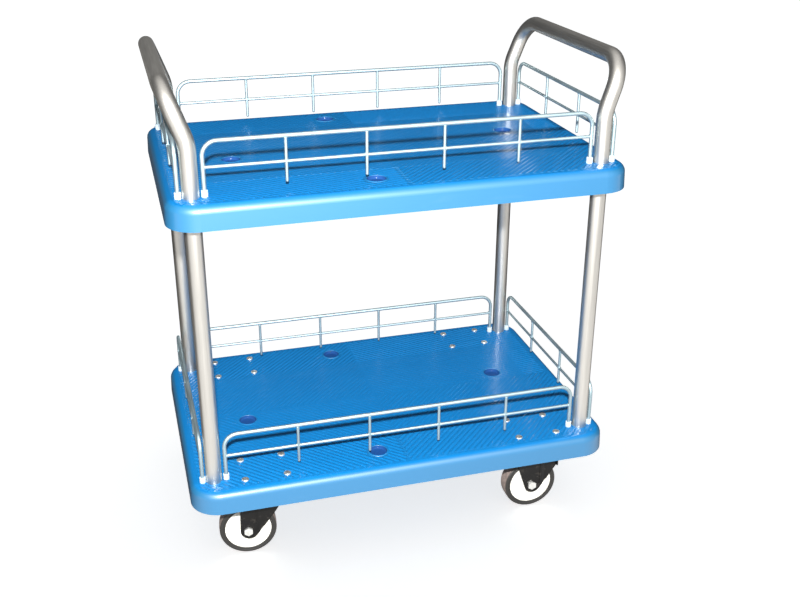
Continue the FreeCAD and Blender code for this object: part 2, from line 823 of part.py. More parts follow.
def at_axle(shape, corner):
    """Moves a wheel piece to its corner, behind the kingpin where the caster swivels."""
    swings = CORNERS[corner][0] < 0
    moved = shape.copy()
    if swings:
        moved.translate(vec(-caster_trail, 0, 0))
    return placed(moved, corner, swings)


def all_nodes():
    """Every node of the trolley, by name."""
    nodes = {
        "lower_deck": deck(LOWER_TOP, True),
        "upper_deck": deck(UPPER_TOP, False),
        "left_hoop": hoop(-1),
        "right_hoop": hoop(1),
        "hoop_cross_bolts": cross_bolts(),
        "hoop_cross_nuts": cross_nuts(),
        "caster_bolts": caster_bolts(),
        "caster_washers": caster_washers(),
        "caster_nuts": caster_nuts(),
    }
    for level, top in (("lower", LOWER_TOP), ("upper", UPPER_TOP)):
        nodes[level + "_front_rail"] = long_rail(-1, top)
        nodes[level + "_back_rail"] = long_rail(1, top)
        nodes[level + "_left_rail"] = short_rail(-1, top)
        nodes[level + "_right_rail"] = short_rail(1, top)
        nodes[level + "_rail_collars"] = rail_collars(top)
    for corner, (side_x, side_y) in CORNERS.items():
        if side_x < 0:
            nodes["swivel_plate_" + corner] = placed(swivel_plate(), corner)
            nodes["kingpin_" + corner] = placed(kingpin(), corner)
            nodes["swivel_balls_" + corner] = placed(swivel_balls(), corner, True)
            nodes["swivel_seal_" + corner] = placed(swivel_seal(), corner, True)
            nodes["swivel_fork_" + corner] = placed(swivel_fork(), corner, True)
        else:
            nodes["rigid_plate_" + corner] = placed(caster_plate(), corner)
            nodes["rigid_fork_" + corner] = placed(rigid_fork(), corner)
        nodes["hub_" + corner] = at_axle(hub(), corner)
        nodes["tyre_" + corner] = at_axle(tyre(), corner)
        nodes["bush_" + corner] = at_axle(bush(), corner)
        nodes["spacer_" + corner] = at_axle(spacer(), corner)
        nodes["axle_" + corner] = at_axle(axle(side_y), corner)
        nodes["axle_nut_" + corner] = at_axle(axle_nut(side_y), corner)
    return nodes


os.makedirs("parts", exist_ok=True)
for name, shape in all_nodes().items():
    shape.exportStep("parts/" + name + ".step")
    print(name, len(shape.Solids), "solids", round(shape.Volume / 1000, 1), "cm3", shape.isValid())
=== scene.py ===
# %% [markdown]
# # A two-tier platform trolley
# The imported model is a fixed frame: decks, hoops, rails and casters are already the right shape
# and size. This file gives them their finishes and adds what the frame leaves out: the
# anti-slip ridges on the decks, the lips and linings of the dimples, the weld beads on the
# rails, and the moulded shape of the tyres.
# Everything is in metres, with +X towards the fixed casters, +Y to the back and +Z up.

# %% Load the frame
import math
import bpy
import bmesh
from mathutils import Matrix, Vector


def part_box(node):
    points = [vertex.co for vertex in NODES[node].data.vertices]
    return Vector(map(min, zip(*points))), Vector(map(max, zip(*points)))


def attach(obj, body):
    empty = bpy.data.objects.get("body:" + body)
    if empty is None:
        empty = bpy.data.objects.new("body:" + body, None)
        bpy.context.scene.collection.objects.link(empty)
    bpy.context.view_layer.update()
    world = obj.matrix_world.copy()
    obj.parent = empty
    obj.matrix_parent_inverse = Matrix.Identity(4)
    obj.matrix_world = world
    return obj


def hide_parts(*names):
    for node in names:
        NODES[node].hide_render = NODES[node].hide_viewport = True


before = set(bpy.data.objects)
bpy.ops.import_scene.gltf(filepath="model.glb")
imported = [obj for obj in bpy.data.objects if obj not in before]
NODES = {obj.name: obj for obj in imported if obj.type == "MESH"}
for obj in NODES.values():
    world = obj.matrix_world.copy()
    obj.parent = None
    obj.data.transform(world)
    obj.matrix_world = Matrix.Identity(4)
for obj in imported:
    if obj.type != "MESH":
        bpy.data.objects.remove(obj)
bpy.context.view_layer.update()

DECKS = {"lower": "lower_deck", "upper": "upper_deck"}
CORNERS = ("front_left", "back_left", "front_right", "back_right")
MM = 0.001

# %% [markdown]
# ## Two helpers
# A finish is named by its colour as seen, so `paint` turns an sRGB hex value into the linear
# numbers that the renderer adds up. `add` puts one node in a tree: its settings are plain
# properties, and each input is either a value or the output that feeds it. Shader trees and
# geometry trees are both built with it, so each later cell reads as a list of what feeds what.

# %% Colour and node helpers
def paint(code, alpha=1.0):
    """Linear RGBA of an sRGB hex colour."""
    levels = [int(code[i:i + 2], 16) / 255 for i in (1, 3, 5)]
    linear = [v / 12.92 if v <= 0.04045 else ((v + 0.055) / 1.055) ** 2.4 for v in levels]
    return (*linear, alpha)


def add(tree, kind, feeds=None, **settings):
    """One node with its settings; feeds maps an input's name or number to a value or an output."""
    node = tree.nodes.new(kind)
    for key, value in settings.items():
        setattr(node, key, value)
    for key, value in (feeds or {}).items():
        if isinstance(value, bpy.types.NodeSocket):
            tree.links.new(value, node.inputs[key])
        else:
            node.inputs[key].default_value = value
    return node


def blank_material(name):
    """An empty node material with its output node and its object coordinates."""
    material = bpy.data.materials.new(name)
    material.use_nodes = True
    tree = material.node_tree
    tree.nodes.clear()
    out = add(tree, "ShaderNodeOutputMaterial")
    place = add(tree, "ShaderNodeTexCoord").outputs["Object"]
    return material, tree, out, place


print("paint('#808080') =", [round(v, 3) for v in paint("#808080")])

# %% [markdown]
# ## The camera
# The view is the one a person has who stands in front of the left end of the trolley, eyes a
# little above the handles, and looks down at it. A lens of about 46 mm on a 36 mm sensor keeps
# the perspective mild. The small shift only re-frames the picture.

# %% Camera
EYE = Vector((-0.5257, -2.0169, 1.3910))
LOOK_TURN = 15.29
LOOK_DOWN = 23.83
ROLL = -0.16
camera_data = bpy.data.cameras.new("camera")
camera_data.sensor_width = 36.0
camera_data.lens = 46.3
camera_data.shift_x = 0.0185
camera_data.shift_y = -0.013
camera = bpy.data.objects.new("camera", camera_data)
bpy.context.scene.collection.objects.link(camera)
bpy.context.scene.camera = camera
turn = Matrix.Rotation(math.radians(-LOOK_TURN), 4, "Z")
tilt = Matrix.Rotation(math.radians(90 - LOOK_DOWN), 4, "X")
roll = Matrix.Rotation(math.radians(ROLL), 4, "Z")
camera.matrix_world = Matrix.Translation(EYE) @ turn @ tilt @ roll
print("camera at", [round(v, 3) for v in EYE], "lens", camera_data.lens)

# %% [markdown]
# ## The floor, twice
# The trolley stands on a pale sweep that glows a little itself, as paper lit from below does,
# so that it stays plain and keeps only a soft shadow.
#
# Polished plastic and metal show what is around them. A tube only looks round if its middle
# shows something bright and its edges something dark, so the floor that is seen in reflections
# is another one: a twin that only glossy rays meet, brightest just in front of the trolley,
# dimmer far off, and dark behind. White and black boards do the same in a studio.

# %% The floor and its twin for reflections
scene = bpy.context.scene
scene.view_settings.view_transform = "Standard"
REACH = 14.0
DIM_FROM = -2.4
BRIGHT_FROM = -0.42
DARK_FROM = 0.0
FAR_GLOW = 0.7
NEAR_GLOW = 1.25
SWEEP_GLOW = 0.72


def floor_plane(name, z):
    """A wide square at height z that isn't part of the trolley."""
    mesh = bpy.data.meshes.new(name)
    corners = [(-REACH, -REACH, z), (REACH, -REACH, z), (REACH, REACH, z), (-REACH, REACH, z)]
    mesh.from_pydata(corners, [], [(0, 1, 2, 3)])
    plane = bpy.data.objects.new(name, mesh)
    scene.collection.objects.link(plane)
    return plane


floor = floor_plane("floor", 0.0)
floor.visible_glossy = False
material, tree, out, place = blank_material("matt_paper_sweep")
shader = add(tree, "ShaderNodeBsdfPrincipled", {
    "Base Color": paint("#F2F2F1"), "Roughness": 0.95, "Specular IOR Level": 0.0,
    "Emission Color": paint("#FFFFFF"), "Emission Strength": SWEEP_GLOW})
tree.links.new(shader.outputs[0], out.inputs[0])
floor.data.materials.append(material)

twin = floor_plane("floor_in_reflections", 0.0)
for kind in ("camera", "diffuse", "transmission", "volume_scatter", "shadow"):
    setattr(twin, "visible_" + kind, False)
material, tree, out, place = blank_material("studio_boards")
depth = add(tree, "ShaderNodeSeparateXYZ", {0: place}).outputs["Y"]
shade = add(tree, "ShaderNodeMapRange", {"Value": depth, "From Min": BRIGHT_FROM, "From Max": DARK_FROM,
                                         "To Min": 1.0, "To Max": 0.0}, interpolation_type="SMOOTHSTEP")
level = add(tree, "ShaderNodeMix", {"Factor": shade.outputs[0], 6: paint("#3A3835"), 7: paint("#FFFFFF")},
            data_type="RGBA")
near = add(tree, "ShaderNodeMapRange", {"Value": depth, "From Min": DIM_FROM, "From Max": BRIGHT_FROM,
                                        "To Min": FAR_GLOW, "To Max": NEAR_GLOW})
shader = add(tree, "ShaderNodeEmission", {"Color": level.outputs[2], "Strength": near.outputs[0]})
tree.links.new(shader.outputs[0], out.inputs[0])
twin.data.materials.append(material)
print("floor and its twin:", 2 * REACH, "m wide")

# %% [markdown]
# ## The lamp and the sky
# The key is one small bright lamp just above the eye. A small lamp throws narrow, dark, crisp
# shadows, so every rail draws its own line on the deck below it. The sweep is left out of its
# light, and the collection `unlit` says so. The rest is an even grey sky, which fills those
# shadows. Reflections meet a sky of their own, white in front and overhead and dark behind,
# and the eye sees plain white past the end of the sweep.

# %% The lamp and the sky
LAMP_SIZE = 0.07
LAMP_POWER = 205.0
LAMP_LIFT = 0.22
LAMP_AIM = Vector((0.0, 0.0, 0.5))

data = bpy.data.lights.new("key_lamp", "AREA")
data.shape = "DISK"
data.size = LAMP_SIZE
data.energy = LAMP_POWER
lamp = bpy.data.objects.new("key_lamp", data)
scene.collection.objects.link(lamp)
lamp.location = EYE + Vector((0.0, 0.0, LAMP_LIFT))
lamp.rotation_euler = (LAMP_AIM - lamp.location).to_track_quat("-Z", "Y").to_euler()
unlit = bpy.data.collections.new("left_out_of_the_lamp")
unlit.objects.link(floor)
unlit.collection_objects[0].light_linking.link_state = "EXCLUDE"
lamp.light_linking.receiver_collection = unlit

world = bpy.data.worlds.new("studio")
scene.world = world
world.use_nodes = True
tree = world.node_tree
tree.nodes.clear()
direction = add(tree, "ShaderNodeTexCoord").outputs["Generated"]
parts = add(tree, "ShaderNodeSeparateXYZ", {0: direction})
front = add(tree, "ShaderNodeMapRange", {"Value": parts.outputs["Y"], "From Min": 0.3, "From Max": -0.8,
                                         "To Min": 0.0, "To Max": 1.0}, interpolation_type="SMOOTHSTEP")
high = add(tree, "ShaderNodeMapRange", {"Value": parts.outputs["Z"], "From Min": 0.6, "From Max": 0.95,
                                        "To Min": 0.0, "To Max": 0.8}, interpolation_type="SMOOTHSTEP")
either = add(tree, "ShaderNodeMath", {0: front.outputs[0], 1: high.outputs[0]}, operation="MAXIMUM")
level = add(tree, "ShaderNodeMix", {"Factor": either.outputs[0], 6: paint("#2E3134"), 7: paint("#FFFFFF")},
            data_type="RGBA")
ray = add(tree, "ShaderNodeLightPath").outputs
shown = add(tree, "ShaderNodeMix", {"Factor": ray["Is Glossy Ray"], 6: paint("#A9ABAD"),
                                    7: level.outputs[2]}, data_type="RGBA")
behind = add(tree, "ShaderNodeMix", {"Factor": ray["Is Camera Ray"], 6: shown.outputs[2],
                                     7: paint("#FFFFFF")}, data_type="RGBA")
sky = add(tree, "ShaderNodeBackground", {"Color": behind.outputs[2], "Strength": 1.0})
add(tree, "ShaderNodeOutputWorld", {0: sky.outputs[0]})
print("key lamp", LAMP_POWER, "W over the eye; even sky; boards in reflections")

# %% [markdown]
# ## Deck plastic
# The decks are moulded in coloured polypropylene: an even, strong blue that goes all the way
# through. What breaks the evenness is slight: clouding where the melt flowed, a very fine
# grain, and hairline scuffs from sliding boxes, which look paler and duller than the rest. All
# of that is made from noise in object coordinates.
#
# The mould wasn't finished alike all over. The skirt, whose faces stand upright, was drawn
# out of a polished steel wall: it shines broadly. The tops are smoother but shine less, and keep
# the full blue. Which of the two a point belongs to follows from how far its own surface faces
# up. That also paints the skirt a darker, greyer blue than the tops: painted light and shade for
# how the lamp falls on upright and on level faces, not a second plastic. The linings of the dimples
# carry the attribute `recess`; they are dull, and painted darker as painted shade in the recess.

# %% Moulded polypropylene
CLOUD_SIZE = 180 * MM
GRAIN_SIZE = 1.6 * MM
SCUFF_LENGTH = 120 * MM
SCUFF_WIDTH = 1.1 * MM
TOP_ROUGHNESS = 0.3
SKIRT_ROUGHNESS = 0.48
SCUFF_DULLING = 0.14
RECESS_DULLING = 0.4
SKIRT_UNTIL = 0.7
TOP_FROM = 0.93


def deck_polypropylene():
    """Moulded polypropylene, blue: glossy skirt, plainer top, grain and scuffs; painted light and shade make
    the skirt a greyer blue and the recesses darker.
    """
    material, tree, out, place = blank_material("moulded_polypropylene_blue")
    cloud = add(tree, "ShaderNodeTexNoise", {"Vector": place, "Scale": 1 / CLOUD_SIZE, "Detail": 3.0})
    tint = add(tree, "ShaderNodeMix", {"Factor": cloud.outputs[0], 6: paint("#08578B"), 7: paint("#0C6096")},
               data_type="RGBA")
    skewed = add(tree, "ShaderNodeMapping", {"Vector": place, "Rotation": (0, 0, 0.5),
                                             "Scale": (1 / SCUFF_LENGTH, 1 / SCUFF_WIDTH, 1 / SCUFF_LENGTH)})
    scuff = add(tree, "ShaderNodeTexNoise", {"Vector": skewed.outputs[0], "Scale": 1.0, "Detail": 2.0})
    line = add(tree, "ShaderNodeMapRange", {"Value": scuff.outputs[0], "From Min": 0.66, "From Max": 0.8})
    scuffed = add(tree, "ShaderNodeMix", {"Factor": line.outputs[0], 6: tint.outputs[2],
                                          7: paint("#2A76AE")}, data_type="RGBA")
    facing = add(tree, "ShaderNodeTexCoord").outputs["Normal"]
    upward = add(tree, "ShaderNodeSeparateXYZ", {0: facing}).outputs["Z"]
    top = add(tree, "ShaderNodeMapRange", {"Value": upward, "From Min": SKIRT_UNTIL,
                                           "From Max": TOP_FROM}).outputs[0]
    # painted light and shade: upright faces get a darker, greyer blue than level ones, chosen by which way
    # the face points
    painted_facing_shade = add(tree, "ShaderNodeMix", {"Factor": top, 6: paint("#0E567C"), 7: scuffed.outputs[2]},
                data_type="RGBA")
    # painted shade: the dimple linings, where `recess` is 1, are painted a darker blue
    recess = add(tree, "ShaderNodeAttribute", attribute_name="recess").outputs["Fac"]
    colour = add(tree, "ShaderNodeMix", {"Factor": recess, 6: painted_facing_shade.outputs[2], 7: paint("#0A3568")},
                 data_type="RGBA")
    base = add(tree, "ShaderNodeMapRange", {"Value": top, "To Min": SKIRT_ROUGHNESS,
                                            "To Max": TOP_ROUGHNESS})
    rubbed = add(tree, "ShaderNodeMath", {0: line.outputs[0], 1: SCUFF_DULLING, 2: base.outputs[0]},
                 operation="MULTIPLY_ADD")
    rough = add(tree, "ShaderNodeMath", {0: recess, 1: RECESS_DULLING, 2: rubbed.outputs[0]},
                operation="MULTIPLY_ADD")
    dull = add(tree, "ShaderNodeMath", {0: top, 1: recess}, operation="MAXIMUM").outputs[0]
    gloss = add(tree, "ShaderNodeMapRange", {"Value": dull, "To Min": 0.8, "To Max": 0.22})
    coat = add(tree, "ShaderNodeMapRange", {"Value": dull, "To Min": 0.7, "To Max": 0.08})
    grain = add(tree, "ShaderNodeTexNoise", {"Vector": place, "Scale": 1 / GRAIN_SIZE, "Detail": 2.0})
    bump = add(tree, "ShaderNodeBump", {"Height": grain.outputs[0], "Strength": 0.22, "Distance": 0.1 * MM})
    shader = add(tree, "ShaderNodeBsdfPrincipled", {
        "Base Color": colour.outputs[2], "Roughness": rough.outputs[0], "IOR": 1.49,
        "Specular IOR Level": gloss.outputs[0], "Coat Weight": coat.outputs[0], "Coat Roughness": 0.14,
        "Coat IOR": 1.49,
        "Normal": bump.outputs[0]})
    tree.links.new(shader.outputs[0], out.inputs[0])
    return material


print("deck plastic: roughness", TOP_ROUGHNESS, "on top,", SKIRT_ROUGHNESS, "on the skirts")

# %% [markdown]
# ## Metals
# Three metals are on show. The hoops are stainless tube with a satin polish, which leaves
# hairlines along the tube: up the legs, and across along the handle bar. The rails are drawn
# steel wire with bright plating that has dulled: blue-grey, smooth, but never quite straight.
# Bolts, nuts and axles are zinc plated, with the faint yellow and blue clouds that passivation
# leaves.

# %% Stainless, plated wire and zinc
HAIRLINE_WIDTH = 0.9 * MM
HAIRLINE_LENGTH = 90 * MM


def satin_stainless(bar_height):
    """Stainless tube with hairlines along the legs, and along the bar above bar_height."""
    material, tree, out, place = blank_material("satin_polished_stainless")
    up = add(tree, "ShaderNodeMapping", {"Vector": place, "Scale": (
        1 / HAIRLINE_WIDTH, 1 / HAIRLINE_WIDTH, 1 / HAIRLINE_LENGTH)})
    across = add(tree, "ShaderNodeMapping", {"Vector": place, "Scale": (
        1 / HAIRLINE_WIDTH, 1 / HAIRLINE_LENGTH, 1 / HAIRLINE_WIDTH)})
    height = add(tree, "ShaderNodeSeparateXYZ", {0: place}).outputs["Z"]
    on_bar = add(tree, "ShaderNodeMapRange", {"Value": height, "From Min": bar_height - 50 * MM,
                                              "From Max": bar_height - 20 * MM})
    legs = add(tree, "ShaderNodeTexNoise", {"Vector": up.outputs[0], "Scale": 1.0, "Detail": 2.0})
    bars = add(tree, "ShaderNodeTexNoise", {"Vector": across.outputs[0], "Scale": 1.0, "Detail": 2.0})
    hair = add(tree, "ShaderNodeMix", {0: on_bar.outputs[0], 2: legs.outputs[0], 3: bars.outputs[0]})
    colour = add(tree, "ShaderNodeMix", {"Factor": hair.outputs[0], 6: paint("#BFBBB3"),
                                         7: paint("#D8D5CF")}, data_type="RGBA")
    rough = add(tree, "ShaderNodeMapRange", {"Value": hair.outputs[0], "To Min": 0.34, "To Max": 0.48})
    bump = add(tree, "ShaderNodeBump", {"Height": hair.outputs[0], "Strength": 0.2, "Distance": 0.05 * MM})
    shader = add(tree, "ShaderNodeBsdfPrincipled", {
        "Base Color": colour.outputs[2], "Metallic": 1.0, "Roughness": rough.outputs[0],
        "Normal": bump.outputs[0]})
    tree.links.new(shader.outputs[0], out.inputs[0])
    return material


def clouded_metal(name, low, high, cloud_size, rough_low, rough_high, wave):
    """A plated or polished metal whose tint and gloss drift slowly, over a slightly wavy skin."""
    material, tree, out, place = blank_material(name)
    cloud = add(tree, "ShaderNodeTexNoise", {"Vector": place, "Scale": 1 / cloud_size, "Detail": 4.0})
    colour = add(tree, "ShaderNodeMix", {"Factor": cloud.outputs[0], 6: paint(low), 7: paint(high)},
                 data_type="RGBA")
    rough = add(tree, "ShaderNodeMapRange", {"Value": cloud.outputs[0], "From Min": 0.3, "From Max": 0.7,
                                             "To Min": rough_low, "To Max": rough_high})
    ripple = add(tree, "ShaderNodeTexNoise", {"Vector": place, "Scale": 1 / (6 * MM), "Detail": 2.0})
    bump = add(tree, "ShaderNodeBump", {"Height": ripple.outputs[0], "Strength": 0.3, "Distance": wave})
    shader = add(tree, "ShaderNodeBsdfPrincipled", {
        "Base Color": colour.outputs[2], "Metallic": 1.0, "Roughness": rough.outputs[0],
        "Normal": bump.outputs[0]})
    tree.links.new(shader.outputs[0], out.inputs[0])
    return material


print("metals: hairlines", round(HAIRLINE_WIDTH / MM, 1), "mm wide")

# %% [markdown]
# ## Black forks
# The forks and plates are pressed steel, dipped and stoved with black enamel. It pools into a
# smooth skin with a faint orange peel, which breaks up reflections, and it turns grey where it
# has been rubbed. A plain black would show none of that, so both come from noise.

# %% Black enamel
def black_enamel():
    """Stoved enamel with orange peel and rubbed places."""
    material, tree, out, place = blank_material("stoved_black_enamel")
    rub = add(tree, "ShaderNodeTexNoise", {"Vector": place, "Scale": 1 / (14 * MM), "Detail": 5.0,
                                           "Roughness": 0.65})
    worn = add(tree, "ShaderNodeMapRange", {"Value": rub.outputs[0], "From Min": 0.56, "From Max": 0.72})
    colour = add(tree, "ShaderNodeMix", {"Factor": worn.outputs[0], 6: paint("#0B0A09"),
                                         7: paint("#26231F")}, data_type="RGBA")
    rough = add(tree, "ShaderNodeMapRange", {"Value": worn.outputs[0], "To Min": 0.22, "To Max": 0.4})
    peel = add(tree, "ShaderNodeTexNoise", {"Vector": place, "Scale": 1 / (2.2 * MM), "Detail": 1.0})
    bump = add(tree, "ShaderNodeBump", {"Height": peel.outputs[0], "Strength": 0.3, "Distance": 0.15 * MM})
    shader = add(tree, "ShaderNodeBsdfPrincipled", {
        "Base Color": colour.outputs[2], "Roughness": rough.outputs[0], "IOR": 1.5,
        "Specular IOR Level": 0.25, "Normal": bump.outputs[0]})
    tree.links.new(shader.outputs[0], out.inputs[0])
    return material


print("black enamel ready")

# %% [markdown]
# ## Pale plastics
# The hubs are off-white polypropylene, and the collars and bushes natural nylon. Both let
# light sink in a little, which softens their shading, and both hold a film of grime. They
# differ in tint, gloss and index only, so one function makes them all.

# %% Pale plastics
def pale_plastic(name, clean, soiled, rough, ior, through):
    """A pale moulded plastic with a little grime and light that sinks in."""
    material, tree, out, place = blank_material(name)
    grime = add(tree, "ShaderNodeTexNoise", {"Vector": place, "Scale": 1 / (22 * MM), "Detail": 6.0})
    soil = add(tree, "ShaderNodeMapRange", {"Value": grime.outputs[0], "From Min": 0.5, "From Max": 0.8})
    colour = add(tree, "ShaderNodeMix", {"Factor": soil.outputs[0], 6: paint(clean), 7: paint(soiled)},
                 data_type="RGBA")
    gloss = add(tree, "ShaderNodeMapRange", {"Value": soil.outputs[0], "To Min": rough,
                                             "To Max": rough + 0.2})
    grain = add(tree, "ShaderNodeTexNoise", {"Vector": place, "Scale": 1 / (1.2 * MM), "Detail": 1.0})
    bump = add(tree, "ShaderNodeBump", {"Height": grain.outputs[0], "Strength": 0.2, "Distance": 0.08 * MM})
    shader = add(tree, "ShaderNodeBsdfPrincipled", {
        "Base Color": colour.outputs[2], "Roughness": gloss.outputs[0], "IOR": ior,
        "Subsurface Weight": through, "Subsurface Radius": (2 * MM, 2 * MM, 2 * MM),
        "Normal": bump.outputs[0]})
    tree.links.new(shader.outputs[0], out.inputs[0])
    return material


print("pale plastics ready")

# %% [markdown]
# ## Tyre rubber
# The tyres are thermoplastic rubber: nearly black and half dull on the sides, and a paler grey
# where they roll. The paler grey comes with the shape: the tyre pieces carry an attribute that
# says how much a point belongs to the tread, and the colour follows it.

# %% Tyre rubber
def tyre_rubber():
    """Thermoplastic rubber: dark on the sides, a paler grey where the tread attribute is 1."""
    material, tree, out, place = blank_material("thermoplastic_rubber_tyre")
    tread = add(tree, "ShaderNodeAttribute", attribute_name="tread").outputs["Fac"]
    patch = add(tree, "ShaderNodeTexNoise", {"Vector": place, "Scale": 1 / (9 * MM), "Detail": 6.0,
                                             "Roughness": 0.7})
    # the tread is painted a paler grey in patches, and rougher
    pale_share = add(tree, "ShaderNodeMapRange", {"Value": patch.outputs[0], "From Min": 0.3, "From Max": 0.65,
                                            "To Min": 0.35, "To Max": 1.0})
    cover = add(tree, "ShaderNodeMath", {0: tread, 1: pale_share.outputs[0]}, operation="MULTIPLY")
    side = add(tree, "ShaderNodeMix", {"Factor": patch.outputs[0], 6: paint("#0E0D0B"),
                                       7: paint("#1E1C19")}, data_type="RGBA")
    colour = add(tree, "ShaderNodeMix", {"Factor": cover.outputs[0], 6: side.outputs[2],
                                         7: paint("#7E6F68")}, data_type="RGBA")
    rough = add(tree, "ShaderNodeMapRange", {"Value": cover.outputs[0], "To Min": 0.5, "To Max": 0.9})
    bump = add(tree, "ShaderNodeBump", {"Height": patch.outputs[0], "Strength": 0.3, "Distance": 0.3 * MM})
    shader = add(tree, "ShaderNodeBsdfPrincipled", {
        "Base Color": colour.outputs[2], "Roughness": rough.outputs[0], "IOR": 1.52,
        "Normal": bump.outputs[0]})
    tree.links.new(shader.outputs[0], out.inputs[0])
    return material


print("tyre rubber ready")

# %% [markdown]
# ## Each node gets its finish
# A node's name says what it is. Naming a finish for all 57 nodes would be long and easy to get
# wrong, so a short list of name endings and beginnings hands out the finishes.

# %% Hand out the finishes
BAR_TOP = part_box("right_hoop")[1].z
FINISHES = {
    "deck": deck_polypropylene(),
    "tube": satin_stainless(BAR_TOP),
    "wire": clouded_metal("bright_plated_wire", "#8FA2A8", "#A2B2B7", 60 * MM, 0.55, 0.65, 0.1 * MM),
    "zinc": clouded_metal("zinc_plated_steel", "#D8D5CB", "#E8EAEA", 5 * MM, 0.42, 0.58, 0.05 * MM),
    "balls": clouded_metal("hardened_steel_balls", "#C8C8C8", "#DCDCDC", 4 * MM, 0.1, 0.16, 0.01 * MM),
    "enamel": black_enamel(),
    "collar": pale_plastic("natural_nylon_collar", "#A9B6BF", "#8F9EA8", 0.4, 1.53, 0.2),
    "hub": pale_plastic("moulded_polypropylene_white", "#C9C7BF", "#AFAA9C", 0.4, 1.49, 0.1),
    "bush": pale_plastic("natural_nylon_bush", "#DDD6C0", "#B8AF96", 0.4, 1.53, 0.2),
    "seal": pale_plastic("moulded_black_dust_ring", "#1C1C1C", "#35332F", 0.45, 1.49, 0.0),
    "tyre": tyre_rubber(),
}
ENDINGS = {"_deck": "deck", "_hoop": "tube", "_rail": "wire", "_collars": "collar"}
STARTS = {"hoop_cross": "zinc", "caster_": "zinc", "axle_": "zinc", "spacer_": "zinc", "kingpin_": "zinc",
          "swivel_plate": "enamel", "rigid_plate": "enamel", "swivel_fork": "enamel",
          "rigid_fork": "enamel", "swivel_balls": "balls", "swivel_seal": "seal",
          "hub_": "hub", "bush_": "bush", "tyre_": "tyre"}


def finish_of(name):
    """The finish that a node's name calls for."""
    for ending, finish in ENDINGS.items():
        if name.endswith(ending):
            return FINISHES[finish]
    for start, finish in STARTS.items():
        if name.startswith(start):
            return FINISHES[finish]
    raise ValueError("no finish for " + name)


for name, node in NODES.items():
    node.data.materials.clear()
    node.data.materials.append(finish_of(name))
print(len(FINISHES), "finishes on", len(NODES), "nodes")

# %% [markdown]
# ## Making plain meshes from geometry trees
# What repeats is described once, as a geometry tree with named inputs. `grow` runs a tree on
# an object, keeps the result as a plain mesh, and removes the tree again, so that a piece is
# only its mesh. `new_tree` makes the empty tree with those inputs.

# %% Geometry tree helpers
def new_tree(name, **inputs):
    """A geometry tree with a float input for each named size, and its group input node."""
    tree = bpy.data.node_groups.new(name, "GeometryNodeTree")
    tree.interface.new_socket("Geometry", in_out="INPUT", socket_type="NodeSocketGeometry")
    for label, kind in inputs.items():
        tree.interface.new_socket(label, in_out="INPUT", socket_type="NodeSocket" + kind)
    tree.interface.new_socket("Geometry", in_out="OUTPUT", socket_type="NodeSocketGeometry")
    return tree, add(tree, "NodeGroupInput").outputs


def close_tree(tree, geometry):
    """Ends a tree: real geometry, its finish, and the way out."""
    finish = [item for item in tree.interface.items_tree if item.name == "Finish"]
    source = next(node for node in tree.nodes if node.type == "GROUP_INPUT").outputs
    real = add(tree, "GeometryNodeRealizeInstances", {0: geometry})
    painted = add(tree, "GeometryNodeSetMaterial", {"Geometry": real.outputs[0],
                                                    "Material": source[finish[0].name]})
    add(tree, "NodeGroupOutput", {0: painted.outputs[0]})


def plain_object(name, points=((0, 0, 0),), **point_values):
    """A mesh of loose points; each extra argument is a float stored on every point."""
    mesh = bpy.data.meshes.new(name)
    mesh.from_pydata([tuple(p) for p in points], [], [])
    for label, values in point_values.items():
        layer = mesh.attributes.new(label, "FLOAT", "POINT")
        layer.data.foreach_set("value", list(values))
    thing = bpy.data.objects.new(name, mesh)
    scene.collection.objects.link(thing)
    return thing


def grow(thing, tree, **values):
    """Runs a tree on an object and leaves the result as its plain mesh."""
    modifier = thing.modifiers.new(tree.name, "NODES")
    modifier.node_group = tree
    for item in tree.interface.items_tree:
        if item.item_type == "SOCKET" and item.in_out == "INPUT" and item.name in values:
            modifier[item.identifier] = values[item.name]
    seen = thing.evaluated_get(bpy.context.evaluated_depsgraph_get())
    mesh = bpy.data.meshes.new_from_object(seen)
    thing.modifiers.remove(modifier)
    thing.data = mesh
    mesh.name = thing.name
    return thing


def count_faces(*things):
    """How many faces some pieces have together."""
    return sum(len(thing.data.polygons) for thing in things)


print("tree helpers ready")

# %% [markdown]
# ## Anti-slip ridges
# The deck mould has fine straight ridges that run at 45 degrees and meet as squares set on
# their points, one inside the other, round the middle of the deck. They could be drawn one by
# one, or come from a picture of the pattern, but they follow a rule, so a geometry tree makes
# them: it rules one quarter with long lines of points, mirrors it, deletes every point that is
# outside the field or near a dimple, bolt, post or leg, and gives what is left of each line a
# ridge's section. Loose points with a `reach` say what the ridges keep away from.
#
# A ridge is low, with a narrow crest and wide gentle flanks, so that it only tints the deck.
# The flanks run on under the surface, because the deck's border lies a little lower than its
# middle. Each ridge stops short of the line where two quarters meet, so crests don't overlap.

# %% One quarter of the ridge lines
RIDGE_PITCH = 10 * MM
RIDGE_WIDTH = 11.0 * MM
RIDGE_CREST = 2.4 * MM
RIDGE_RISE = 0.36 * MM
RIDGE_ROOT = 0.72 * MM
RIDGE_STEP = 1 * MM
SHORTEST_RIDGE = 5 * MM
NEARLY = 0.999


def math_node(tree, operation, first, second):
    """The result of one sum or comparison."""
    return add(tree, "ShaderNodeMath", {0: first, 1: second}, operation=operation).outputs[0]


